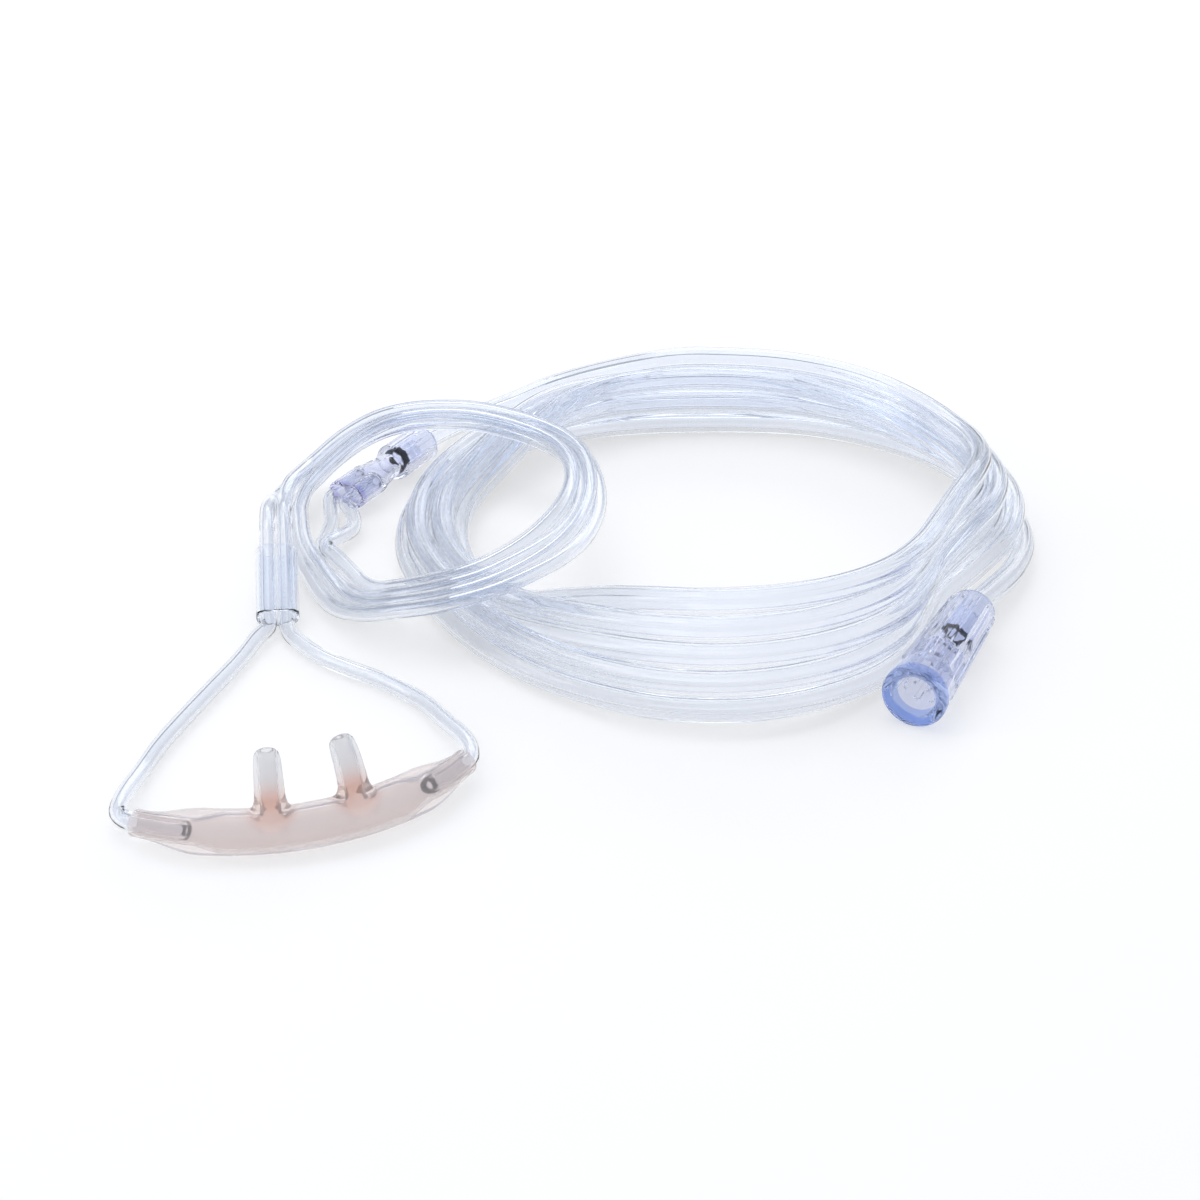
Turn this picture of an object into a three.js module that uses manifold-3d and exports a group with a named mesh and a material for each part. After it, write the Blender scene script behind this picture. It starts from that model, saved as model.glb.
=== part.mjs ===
// Nasal oxygen cannula: a soft two-prong nasal piece, two headset tubes with a sliding sleeve,
// a Y connector and a long coiled supply tube with its end connector.
// Millimetres, +Z up. It lies on the floor, coiled, with the end connector's bore along Y.
import * as THREE from 'three';
import { mergeVertices } from 'three/addons/utils/BufferGeometryUtils.js';
import Module from 'manifold-3d';

const wasm = await Module();
wasm.setup();

// Driving dimensions

const fitGap = 0.3; // clearance between a tube and the bore it sits in, and between neighbours
const roundSides = 32; // facets round a moulded piece
const smallRoundSides = 24; // facets round a small bore or a prong
const cutPast = 1; // how far a cut runs past the face it opens
const sharpStep = 0.01; // length of a step between two radii of a turned solid

const headsetTubeDiameter = 3.4;
const supplyTubeDiameter = 5.2;
const tubeSides = 8;
const supplyTubeSides = 10;
const strandGap = 0.1; // between neighbouring strands of a coil, and under a tube on the floor

const nasalChord = 61.8; // straight distance between the two socket mouths
const nasalHalfAngle = 39 * Math.PI / 180; // half of the arc that the body follows
const nasalBodyRadius = 4.3;
const nasalSocketRadius = 2.6;
const nasalSocketLength = 7.5; // plain tubular end
const nasalShoulderLength = 4; // where the end widens into the body
const nasalTubeInsertion = 11; // how deep each headset tube sits in its socket
const nasalWall = 1.1;
const nasalSeatStep = 0.45; // how far the bore narrows behind a tube's end
const nasalSeatLength = 1; // from a tube's end to where the bore starts to widen
const nasalCavityFlare = 3; // from a tube's end to the full width of the cavity
const nasalRingStep = 3; // between rings of the bent body
const nasalAxisHeight = nasalBodyRadius;
const nasalMiddle = [-54.3, -76.6]; // middle of the chord on the floor plan
const nasalTurn = 18.4 * Math.PI / 180;

const prongSpacing = 15.6; // along the body's axis
const prongRootRadius = 3.7;
const prongBaseRadius = 2.65;
const prongTipRadius = 2.35;
const prongBoreRadius = 1.65;
const prongLength = 15; // from the body's axis, along the bend
const prongBendRadius = 15;
const prongFlareLength = 2.8;
const prongFlareInset = 0.8; // how far inside the body's surface the flare starts
const prongFlareMiddle = [0.45, 0.35]; // share of the flare's length, and what it still adds there
const prongStart = 1; // from the body's axis to the buried end of a prong
const prongBoreStart = 0.6; // from the body's axis to the start of a prong's bore
const prongRingStep = 1.6; // between rings of a bent prong

const sliderLength = 19.5;
const sliderWall = 0.6;
const sliderTubePitch = headsetTubeDiameter + fitGap;
const sliderLowEnd = [-66.6, -12.4, 2.9];
const sliderHeading = 96.5 * Math.PI / 180;
const sliderPitch = 16 * Math.PI / 180;
const sliderTravel = 6;
const sliderRunPast = 2; // how far the tubes run straight on past the slider's travel

const yBarrelRadius = 4.2;
const yBarrelLength = 12;
const yNeckLength = 9;
const ySocketLength = 9.5;
const ySocketWall = 0.8;
const yTubeInsertion = 8.5;
const ySupplyInsertion = 11;
const yPassageRadius = 1.4;
const yLipHeight = 0.25;
const yLipLength = 1;
const yLipSlope = 0.4; // length of the slope up to the lip
const yJoinedSpread = 0.12; // how far the sides of the outline stay apart where it is round
const yStepDepth = 0.35; // how far the neck lies inside the sockets' outline
const yStepLength = 0.6;
const yWaistShare = 0.4; // share of the neck at which the sockets start to run together
const yWaistSpread = 0.7;
const yConeLength = 1.6; // where the neck widens into the barrel
const yPassageJoin = 2; // from where the passages have joined to the barrel
const yTubePitch = headsetTubeDiameter + 2 * fitGap;
const ySocketEnd = [-57.2, 39.2];
const yHeading = 60 * Math.PI / 180;

const portLength = 37.5;
const portMouthRadius = 6.2;
const portTailRadius = 4.9;
const portRimRadius = 6.6;
const portRimLength = 3.2;
const portRimRound = 1.1;
const portBoreRadius = 4.2;
const portBoreDepth = 17;
const portBoreFlare = 0.5; // how much wider the bore is at the mouth's face
const portBoreFlareLength = 1;
const portTailDrop = 0.5; // rounding of the tail's edge, as a chamfer
const portTailChamfer = 0.6;
const portPassageRadius = 1.9;
const portTubeInsertion = 15;
const portRibCount = 10;
const portRibHeight = 0.45;
const portRibWidth = 1.1;
const portRibInset = 5; // from the rim's back to the ribs' start
const portRibStop = 2; // from the ribs' end to the tail
const portToothCount = 8;
const portToothHeight = 0.8;
const portToothWidth = 1.0;
const portToothLength = 7;
const portToothRoot = 0.6; // how far a tooth is let into the wall
const portToothFoot = 0.2; // how far a tooth is let into the bore's floor
const portMouth = [60.2, -49.0];
const portHeading = 244.4 * Math.PI / 180; // the way the mouth faces on the floor plan

// Coils. Every ring of a coil is described at equal angles round it, from the +X side
// counterclockwise: radius and height of its outermost strand, and how the strands stack.

const supplyCoil = {
  centre: [25.7, 21],
  pitch: supplyTubeDiameter + strandGap,
  strands: 5,
  radius: [63.5, 66.5, 63.5, 59.5, 63, 68.5, 68, 65.5, 67.5, 72.5, 62.3, 50],
  base: [2.7, 2.7, 2.7, 2.7, 2.7, 2.7, 2.7, 2.7, 2.7, 2.7, -2, -2.2],
  lean: [60, 52, 70, 88, 72, 12, 5, 8, 42, 66, 80, 90],
  opening: [52, 38, 34, 34, 33, 32, 32, 34, 60, 85, 80, 70],
};
const headsetCoil = {
  centre: [-34, 24],
  pitch: headsetTubeDiameter + strandGap,
  strands: 4,
  radius: [33.5, 33.5, 33.5, 34.5, 38.5, 41, 37, 37.5, 46, 52, 44.8, 37.3],
  base: [14.8, 14.8, 14.8, 15.1, 12.3, 4, 1.8, 1.8, 3.5, 12.5, 15.2, 14.8],
  lean: [0, 0, 0, 0, 0, 0, 0, 0, 0, 0, 0, 0],
  opening: [32, 32, 32, 32, 32, 32, 32, 40, 75, 88, 84, 50],
};
const ringSteps = 60;

// Materials

const softPink = new THREE.MeshStandardMaterial({ color: 0xe8d2cc, roughness: 0.3, metalness: 0 });
const clearSoft = new THREE.MeshStandardMaterial({ color: 0xdfe3ef, roughness: 0.2, metalness: 0 });
const clearHard = new THREE.MeshStandardMaterial({ color: 0xa9b4dc, roughness: 0.15, metalness: 0 });

// Geometry helpers

function closed(geometry) {
  const plain = geometry.index ? geometry.toNonIndexed() : geometry.clone();
  plain.deleteAttribute('normal');
  plain.deleteAttribute('uv');
  return mergeVertices(plain, 1e-4);
}

function toSolid(geometry) {
  const merged = closed(geometry);
  const vertProperties = new Float32Array(merged.attributes.position.array);
  const triVerts = new Uint32Array(merged.index.array);
  return new wasm.Manifold(new wasm.Mesh({ numProp: 3, vertProperties, triVerts }));
}

function toGeometry(solid) {
  const mesh = solid.getMesh();
  const geometry = new THREE.BufferGeometry();
  geometry.setAttribute('position', new THREE.BufferAttribute(new Float32Array(mesh.vertProperties), 3));
  geometry.setIndex(new THREE.BufferAttribute(new Uint32Array(mesh.triVerts), 1));
  geometry.computeVertexNormals();
  return geometry;
}

function united(geometries) {
  return geometries.map(toSolid).reduce((sum, solid) => sum.add(solid));
}

// A turned solid whose axis is +Y, from [radius, distance] pairs.
function turned(profile, sides) {
  const outline = profile.map(([radius, along]) => new THREE.Vector2(radius, along));
  const first = new THREE.Vector2(0, profile[0][1]);
  const last = new THREE.Vector2(0, profile[profile.length - 1][1]);
  return new THREE.LatheGeometry([first, ...outline, last], sides);
}

// The same profile with enough rings along it to be bent.
function divided(profile, step) {
  const fine = [profile[0]];
  for (let i = 1; i < profile.length; i += 1) {
    const [r0, y0] = profile[i - 1];
    const [r1, y1] = profile[i];
    const pieces = Math.max(1, Math.round(Math.abs(y1 - y0) / step));
    for (let j = 1; j <= pieces; j += 1) {
      const t = j / pieces;
      fine.push([r0 + (r1 - r0) * t, y0 + (y1 - y0) * t]);
    }
  }
  return fine;
}

// Bends a solid that runs along +Y so that it curves toward +X.
function bent(geometry, bendRadius) {
  const position = geometry.attributes.position;
  for (let i = 0; i < position.count; i += 1) {
    const angle = position.getY(i) / bendRadius;
    const reach = bendRadius - position.getX(i);
    position.setXY(i, bendRadius - reach * Math.cos(angle), reach * Math.sin(angle));
  }
  return geometry;
}

// The outline of a slot with round ends, as wide as two bores a pitch apart.
function slotShape(pitch, radius, Shape = THREE.Shape) {
  const outline = new Shape();
  outline.absarc(pitch / 2, 0, radius, -Math.PI / 2, Math.PI / 2, false);
  outline.absarc(-pitch / 2, 0, radius, Math.PI / 2, Math.PI * 1.5, false);
  return outline;
}

// A plain tube solid along hand-chosen points.
function tubeAlong(points, diameter, sides, steps) {
  const section = new THREE.Shape();
  section.absarc(0, 0, diameter / 2, 0, Math.PI * 2, false);
  const route = new THREE.CatmullRomCurve3(points.map((p) => new THREE.Vector3(...p)), false, 'centripetal');
  return new THREE.ExtrudeGeometry(section, {
    steps, bevelEnabled: false, extrudePath: route, curveSegments: sides,
  });
}

function named(name, geometry, material) {
  const mesh = new THREE.Mesh(closed(geometry), material);
  mesh.name = name;
  return mesh;
}

// Nasal piece: one hollow moulding, bent to a crescent, with two curved prongs

const nasalArcRadius = nasalChord / 2 / Math.sin(nasalHalfAngle);
const nasalHalfLength = nasalArcRadius * nasalHalfAngle;
const nasalBend = nasalArcRadius * (1 - Math.cos(nasalHalfAngle));
const headsetBoreRadius = headsetTubeDiameter / 2 + fitGap;

function mirroredProfile(half) {
  const other = half.map(([radius, along]) => [radius, -along]).reverse();
  return [...half, ...other];
}

function nasalBody() {
  const shoulder = nasalHalfLength - nasalSocketLength;
  const half = [
    [nasalSocketRadius, -nasalHalfLength],
    [nasalSocketRadius, -shoulder],
    [nasalSocketRadius + (nasalBodyRadius - nasalSocketRadius) * 0.72, -shoulder + nasalShoulderLength * 0.5],
    [nasalBodyRadius * 0.97, -shoulder + nasalShoulderLength],
    [nasalBodyRadius, -prongSpacing],
  ];
  return bent(turned(divided(mirroredProfile(half), nasalRingStep), roundSides), nasalArcRadius);
}

function nasalHollow() {
  const seat = nasalHalfLength - nasalTubeInsertion;
  const cavityRadius = nasalBodyRadius - nasalWall;
  const half = [
    [headsetBoreRadius, -nasalHalfLength - cutPast],
    [headsetBoreRadius, -seat],
    [headsetBoreRadius - nasalSeatStep, -seat + sharpStep],
    [headsetBoreRadius - nasalSeatStep, -seat + nasalSeatLength],
    [cavityRadius, -seat + nasalCavityFlare],
  ];
  return bent(turned(divided(mirroredProfile(half), nasalRingStep), smallRoundSides), nasalArcRadius);
}

function placeOnNasalBody(geometry, along) {
  const angle = along / nasalArcRadius;
  geometry.rotateX(Math.PI / 2);
  geometry.rotateZ(-angle);
  geometry.translate(nasalArcRadius * (1 - Math.cos(angle)), nasalArcRadius * Math.sin(angle), 0);
  return geometry;
}

function prong(along) {
  const flareStart = nasalBodyRadius - prongFlareInset;
  const [middleShare, middleRise] = prongFlareMiddle;
  const profile = [
    [prongRootRadius, prongStart],
    [prongRootRadius, flareStart],
    [prongBaseRadius + middleRise, flareStart + prongFlareLength * middleShare],
    [prongBaseRadius, flareStart + prongFlareLength],
    [prongTipRadius, prongLength],
  ];
  return placeOnNasalBody(bent(turned(divided(profile, prongRingStep), smallRoundSides), prongBendRadius), along);
}

function prongBore(along) {
  const profile = [[prongBoreRadius, prongBoreStart], [prongBoreRadius, prongLength + cutPast]];
  return placeOnNasalBody(bent(turned(divided(profile, prongRingStep), smallRoundSides), prongBendRadius), along);
}

function nasalPiece() {
  const sides = [-prongSpacing / 2, prongSpacing / 2];
  const outside = united([nasalBody(), ...sides.map(prong)]);
  const inside = united([nasalHollow(), ...sides.map(prongBore)]);
  const geometry = toGeometry(outside.subtract(inside));
  geometry.translate(-nasalBend, 0, 0);
  geometry.rotateZ(Math.PI / 2 + nasalTurn);
  geometry.translate(nasalMiddle[0], nasalMiddle[1], nasalAxisHeight);
  return geometry;
}

// A point on the nasal piece's axis: side is -1 for its left end and 1 for its right end,
// and distance is measured outward from the socket's mouth.
function nasalSocketPoint(side, distance) {
  const reach = nasalHalfAngle + Math.min(distance, 0) / nasalArcRadius;
  const overrun = Math.max(distance, 0);
  const back = nasalArcRadius * (1 - Math.cos(reach)) + overrun * Math.sin(reach) - nasalBend;
  const along = nasalArcRadius * Math.sin(reach) + overrun * Math.cos(reach);
  const x = side * along * Math.cos(nasalTurn) - back * Math.sin(nasalTurn);
  const y = side * along * Math.sin(nasalTurn) + back * Math.cos(nasalTurn);
  return [nasalMiddle[0] + x, nasalMiddle[1] + y, nasalAxisHeight];
}

// Slider: a short sleeve that both headset tubes pass through side by side

const sliderAxis = new THREE.Vector3(
  Math.cos(sliderPitch) * Math.cos(sliderHeading),
  Math.cos(sliderPitch) * Math.sin(sliderHeading),
  Math.sin(sliderPitch),
);
const sliderAcross = new THREE.Vector3(Math.sin(sliderHeading), -Math.cos(sliderHeading), 0);

function slider() {
  const outline = slotShape(sliderTubePitch, headsetBoreRadius + sliderWall);
  outline.holes.push(slotShape(sliderTubePitch, headsetBoreRadius, THREE.Path));
  const geometry = new THREE.ExtrudeGeometry(outline, {
    depth: sliderLength, bevelEnabled: false, curveSegments: smallRoundSides / 2,
  });
  const up = new THREE.Vector3().crossVectors(sliderAxis, sliderAcross);
  geometry.applyMatrix4(new THREE.Matrix4().makeBasis(sliderAcross, up, sliderAxis));
  geometry.translate(...sliderLowEnd);
  return geometry;
}

// A point on a headset tube's straight run through the slider.
function sliderPoint(side, distance) {
  const point = new THREE.Vector3(...sliderLowEnd);
  point.addScaledVector(sliderAxis, distance);
  point.addScaledVector(sliderAcross, side * sliderTubePitch / 2);
  return point.toArray();
}

// The straight stretch that the slider can move along.
function straightRun(side) {
  const end = sliderLength + sliderTravel;
  const stops = [-sliderRunPast, -fitGap, sliderLength / 2, end, end + sliderRunPast];
  return stops.map((distance) => sliderPoint(side, distance));
}

// Y connector: a barrel for the supply tube, a neck and a flat double socket

const ySocketOuter = headsetBoreRadius + ySocketWall;
const yNeckEnd = ySocketLength + yNeckLength;
const yLength = yNeckEnd + yBarrelLength;
const yAxisHeight = yBarrelRadius + yLipHeight;
const supplyBoreRadius = supplyTubeDiameter / 2 + fitGap;

// Its outside, from the headset end: distance, how far the two sockets are still apart, radius.
const yStations = [
  [0, 1, ySocketOuter],
  [ySocketLength, 1, ySocketOuter],
  [ySocketLength + yStepLength, 1, ySocketOuter - yStepDepth],
  [ySocketLength + yNeckLength * yWaistShare, yWaistSpread, ySocketOuter - yStepDepth],
  [yNeckEnd - yConeLength, yJoinedSpread, ySocketOuter],
  [yNeckEnd, yJoinedSpread, yBarrelRadius],
  [yLength - yLipLength - yLipSlope, yJoinedSpread, yBarrelRadius],
  [yLength - yLipLength, yJoinedSpread, yBarrelRadius + yLipHeight],
  [yLength, yJoinedSpread, yBarrelRadius + yLipHeight],
];

// What the gas flows through, from the two sockets' ends into the supply tube's socket.
const yPassage = [
  [yTubeInsertion, 1, yPassageRadius],
  [yNeckEnd - yPassageJoin, yJoinedSpread, yPassageRadius],
  [yLength - ySupplyInsertion + cutPast, yJoinedSpread, yPassageRadius],
];

// A solid whose outline is a slot with round ends, set by stations along +Y.
function lofted(stations, sides) {
  const unitRadius = 1;
  const steps = stations.length - 1;
  const body = new THREE.ExtrudeGeometry(slotShape(yTubePitch, unitRadius), {
    depth: steps, steps, bevelEnabled: false, curveSegments: sides / 2,
  });
  const position = body.attributes.position;
  for (let i = 0; i < position.count; i += 1) {
    const [distance, spread, radius] = stations[Math.round(position.getZ(i))];
    const x = position.getX(i);
    const socketMiddle = Math.min(Math.max(x, -yTubePitch / 2), yTubePitch / 2);
    const newX = socketMiddle * spread + (x - socketMiddle) * radius / unitRadius;
    position.setXYZ(i, newX, position.getY(i) * radius / unitRadius, distance);
  }
  return body.rotateX(-Math.PI / 2);
}

function yConnector() {
  const bores = [-1, 1].map((side) => {
    const profile = [[headsetBoreRadius, -cutPast], [headsetBoreRadius, yTubeInsertion + fitGap]];
    return turned(profile, smallRoundSides).translate(side * yTubePitch / 2, 0, 0);
  });
  const supplyBore = turned([
    [supplyBoreRadius, yLength - ySupplyInsertion],
    [supplyBoreRadius, yLength + cutPast],
  ], smallRoundSides);
  const inside = united([...bores, lofted(yPassage, smallRoundSides), supplyBore]);
  const geometry = toGeometry(toSolid(lofted(yStations, roundSides)).subtract(inside));
  geometry.rotateZ(yHeading - Math.PI / 2);
  geometry.translate(ySocketEnd[0], ySocketEnd[1], yAxisHeight);
  return geometry;
}

// A point on the Y connector's axis line, side by side for the two headset tubes.
function yPoint(side, distance) {
  const across = side * yTubePitch / 2;
  return [
    ySocketEnd[0] + distance * Math.cos(yHeading) + across * Math.sin(yHeading),
    ySocketEnd[1] + distance * Math.sin(yHeading) - across * Math.cos(yHeading),
    yAxisHeight,
  ];
}

// End connector: a ribbed, tapered barrel with a soft rim, which pushes onto an oxygen outlet

const portAxisHeight = portRimRadius;

function portRibs() {
  const start = portRimLength + portRibInset;
  const length = portLength - start - portRibStop;
  const slope = Math.atan((portMouthRadius - portTailRadius) / (portLength - portRimLength));
  const middle = start + length / 2;
  const radius = portMouthRadius - (middle - portRimLength) * Math.tan(slope);
  return Array.from({ length: portRibCount }, (_, i) => {
    const rib = new THREE.BoxGeometry(portRibWidth, length, portRibHeight * 2);
    rib.rotateX(slope);
    rib.translate(0, middle, radius);
    return rib.rotateY(i * 2 * Math.PI / portRibCount);
  });
}

function portTeeth() {
  return Array.from({ length: portToothCount }, (_, i) => {
    const tooth = new THREE.BoxGeometry(portToothWidth, portToothLength, portToothHeight + portToothRoot);
    const radius = portBoreRadius - portToothHeight / 2 + portToothRoot / 2;
    tooth.translate(0, portBoreDepth - portToothLength / 2 + portToothFoot, radius);
    return tooth.rotateY(i * 2 * Math.PI / portToothCount);
  });
}

function endConnector() {
  const shell = turned([
    [portRimRadius - portRimRound, 0],
    [portRimRadius - portRimRound * 0.3, portRimRound * 0.3],
    [portRimRadius, portRimRound],
    [portRimRadius, portRimLength - portRimRound * 0.6],
    [portMouthRadius, portRimLength],
    [portTailRadius, portLength - portTailChamfer],
    [portTailRadius - portTailDrop, portLength],
  ], roundSides);
  const bore = turned([
    [portBoreRadius + portBoreFlare, -cutPast],
    [portBoreRadius + portBoreFlare, 0],
    [portBoreRadius, portBoreFlareLength],
    [portBoreRadius, portBoreDepth],
  ], roundSides);
  const seat = portLength - portTubeInsertion;
  const passage = turned([
    [portPassageRadius, portBoreDepth - cutPast],
    [portPassageRadius, seat],
    [supplyBoreRadius, seat + sharpStep],
    [supplyBoreRadius, portLength + cutPast],
  ], smallRoundSides);
  const hollowed = united([shell, ...portRibs()]).subtract(united([bore, passage]));
  const geometry = toGeometry(hollowed.add(united(portTeeth())));
  geometry.rotateZ(portHeading + Math.PI / 2);
  geometry.translate(portMouth[0], portMouth[1], portAxisHeight);
  return geometry;
}

// A point on the end connector's axis, measured inward from its mouth.
function portPoint(distance) {
  return [
    portMouth[0] - distance * Math.cos(portHeading),
    portMouth[1] - distance * Math.sin(portHeading),
    portAxisHeight,
  ];
}

// Coils as rings of their outer shape

// Smooth closed interpolation of values that are given at equal angles.
function around(values, angle) {
  const place = (((angle / (2 * Math.PI)) % 1) + 1) % 1 * values.length;
  const index = Math.floor(place);
  const t = place - index;
  const [a, b, c, d] = [-1, 0, 1, 2].map((i) => values[(index + i + values.length) % values.length]);
  return b + 0.5 * t * (c - a + t * (2 * a - 5 * b + 4 * c - d + t * (3 * (b - c) + d - a)));
}

// Where strand number n of a coil lies in its section: strands alternate between two rows.
function strandPlace(coil, n, angle) {
  const lean = around(coil.lean, angle) * Math.PI / 180;
  const opening = around(coil.opening, angle) * Math.PI / 180;
  const row = 0.5 - 0.5 * Math.cos(Math.PI * n);
  const along = coil.pitch * Math.sin(opening) * n;
  const across = coil.pitch * Math.cos(opening) * row;
  return [
    around(coil.radius, angle) - along * Math.cos(lean) + across * Math.sin(lean),
    around(coil.base, angle) + along * Math.sin(lean) + across * Math.cos(lean),
  ];
}

// The ring around the strands from firstStrand(angle) on: eight flats that touch them all round.
function coilRing(coil, firstStrand, tubeRadius) {
  const flats = 8;
  const blankRadius = 3;
  const blank = Array.from({ length: flats + 1 }, (_, i) => {
    const turn = (i % flats + 0.5) * 2 * Math.PI / flats;
    return new THREE.Vector2(blankRadius + Math.cos(turn), Math.sin(turn));
  });
  const ring = closed(new THREE.LatheGeometry(blank, ringSteps));
  ring.rotateX(Math.PI / 2);
  const position = ring.attributes.position;
  for (let i = 0; i < position.count; i += 1) {
    const angle = Math.atan2(position.getY(i), position.getX(i));
    const outward = Math.hypot(position.getX(i), position.getY(i)) - blankRadius;
    const corner = Math.atan2(position.getZ(i), outward);
    const first = firstStrand(angle);
    const places = Array.from({ length: coil.strands }, (_, n) => strandPlace(coil, first + n, angle));
    const reach = (turn) => tubeRadius
      + Math.max(...places.map(([radius, height]) => radius * Math.cos(turn) + height * Math.sin(turn)));
    const half = Math.PI / flats;
    const [before, after] = [corner - half, corner + half].map((turn) => [turn, reach(turn)]);
    const radius = (before[1] * Math.sin(after[0]) - after[1] * Math.sin(before[0])) / Math.sin(2 * half);
    const height = (after[1] * Math.cos(before[0]) - before[1] * Math.cos(after[0])) / Math.sin(2 * half);
    position.setXYZ(
      i,
      coil.centre[0] + radius * Math.cos(angle),
      coil.centre[1] + radius * Math.sin(angle),
      Math.max(height, 0),
    );
  }
  return ring;
}

function smoothStep(low, high, value) {
  const t = Math.min(Math.max((value - low) / (high - low), 0), 1);
  return t * t * (3 - 2 * t);
}

// Degrees travelled clockwise from the coil's left side, 0 to 360.
function travelled(angle) {
  return (((Math.PI - angle) * 180 / Math.PI) % 360 + 360) % 360;
}

// Where strands cross between layers, leave a coil or join it, in degrees travelled
const supplyCrossing = [225, 315];
const supplyLeaving = [120, 170];
const headsetCrossing = [215, 315];
const headsetJoining = [5, 40];
const headsetTubes = 2;

function supplyFirst(angle) {
  const degrees = travelled(angle);
  return smoothStep(...supplyLeaving, degrees) * (1 - smoothStep(...supplyCrossing, degrees));
}

function headsetFirst(angle) {
  const degrees = travelled(angle);
  const joining = degrees < 180 ? 1 - smoothStep(...headsetJoining, degrees) : 0;
  return headsetTubes * (smoothStep(...headsetCrossing, degrees) + joining);
}

// Cord routes that aren't coiled, as hand-chosen points on the floor plan and heights

const floorHeight = headsetTubeDiameter / 2 + strandGap;

const leftRoute = [
  nasalSocketPoint(-1, -nasalTubeInsertion + fitGap),
  nasalSocketPoint(-1, -5),
  nasalSocketPoint(-1, 0),
  nasalSocketPoint(-1, 1.2),
  [-86.9, -83.4, 4.1],
  [-87.3, -79, 3.6],
  [-86.9, -73.5, 2.8],
  [-85.7, -66, floorHeight],
  [-83.8, -58, floorHeight],
  [-81, -49.5, floorHeight],
  [-76.9, -38.3, floorHeight],
  [-72.5, -26.5, floorHeight],
  [-70, -18.5, 2.1],
  ...straightRun(-1),
  [-72.2, 20.5, 10.4],
  [-72.6, 28, 8.6],
  [-72.2, 34, 6.6],
];
const rightRoute = [
  nasalSocketPoint(1, -nasalTubeInsertion + fitGap),
  nasalSocketPoint(1, -5),
  nasalSocketPoint(1, 0),
  nasalSocketPoint(1, 1.2),
  [-24.6, -61.6, 4],
  [-26.4, -56.6, 3.4],
  [-29.5, -51, 2.6],
  [-35.2, -42, floorHeight],
  [-42.9, -35, floorHeight],
  [-50.1, -30.3, floorHeight],
  [-56, -26, floorHeight],
  [-60.6, -21.2, 1.9],
  [-63.4, -17.4, 2],
  ...straightRun(1),
  [-68.7, 20.5, 10.8],
  [-69.2, 28, 9.6],
  [-68.8, 35, 9.8],
];
const leftTail = [
  [-59.6, 29.5, 2.6],
  [-60.2, 34.5, 3.9],
  yPoint(-1, -3),
  yPoint(-1, 0),
  yPoint(-1, yTubeInsertion - fitGap),
];
const rightTail = [
  [-54.6, 27.5, 2.6],
  [-55.4, 32.5, 3.9],
  yPoint(1, -3),
  yPoint(1, 0),
  yPoint(1, yTubeInsertion - fitGap),
];
const supplyLead = [
  yPoint(0, yLength - ySupplyInsertion + fitGap),
  yPoint(0, yLength),
  yPoint(0, yLength + 3),
  [-34, 78, 3.4],
  [-22, 89, 2.7],
  [-10, 95.5, 3.6],
];
const supplyTail = [
  portPoint(portLength - portTubeInsertion + fitGap),
  portPoint(portLength),
  portPoint(portLength + 2),
  [81.3, -6.4, 5.6],
  [87.6, 4.8, 4.2],
  [92.8, 17, 3.6],
];

// The whole cannula, turned so that the end connector's bore runs along Y and set with
// its origin under the middle of the moulded pieces

const layout = new THREE.Group();
const mouldings = [
  named('nasal_piece', nasalPiece(), softPink),
  named('slider', slider(), clearSoft),
  named('y_connector', yConnector(), clearHard),
  named('end_connector', endConnector(), clearHard),
];
const headsetTube = (points, steps) => tubeAlong(points, headsetTubeDiameter, tubeSides, steps);
const supplyTube = (points, steps) => tubeAlong(points, supplyTubeDiameter, supplyTubeSides, steps);
const cords = [
  named('headset_tube_left', headsetTube(leftRoute, 48), clearSoft),
  named('headset_tube_right', headsetTube(rightRoute, 48), clearSoft),
  named('headset_coil', coilRing(headsetCoil, headsetFirst, headsetTubeDiameter / 2), clearSoft),
  named('headset_tail_left', headsetTube(leftTail, 8), clearSoft),
  named('headset_tail_right', headsetTube(rightTail, 8), clearSoft),
  named('supply_lead', supplyTube(supplyLead, 10), clearSoft),
  named('supply_coil', coilRing(supplyCoil, supplyFirst, supplyTubeDiameter / 2), clearSoft),
  named('supply_tail', supplyTube(supplyTail, 8), clearSoft),
];
layout.add(...mouldings, ...cords);
layout.rotation.z = -Math.PI / 2 - portHeading;
layout.updateMatrixWorld(true);
const box = new THREE.Box3();
mouldings.forEach((mesh) => box.expandByObject(mesh, true));
layout.position.set(-(box.min.x + box.max.x) / 2, -(box.min.y + box.max.y) / 2, -box.min.z);

const cannula = new THREE.Group();
cannula.name = 'nasal_cannula';
cannula.add(layout);

export default cannula;
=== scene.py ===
# Nasal oxygen cannula: clear tubing, a pink nasal piece, a sliding sleeve, a Y connector and a
# blue end connector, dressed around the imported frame. Metres, in the row frame.
import math

import bmesh
import bpy
from mathutils import Matrix, Vector


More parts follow.
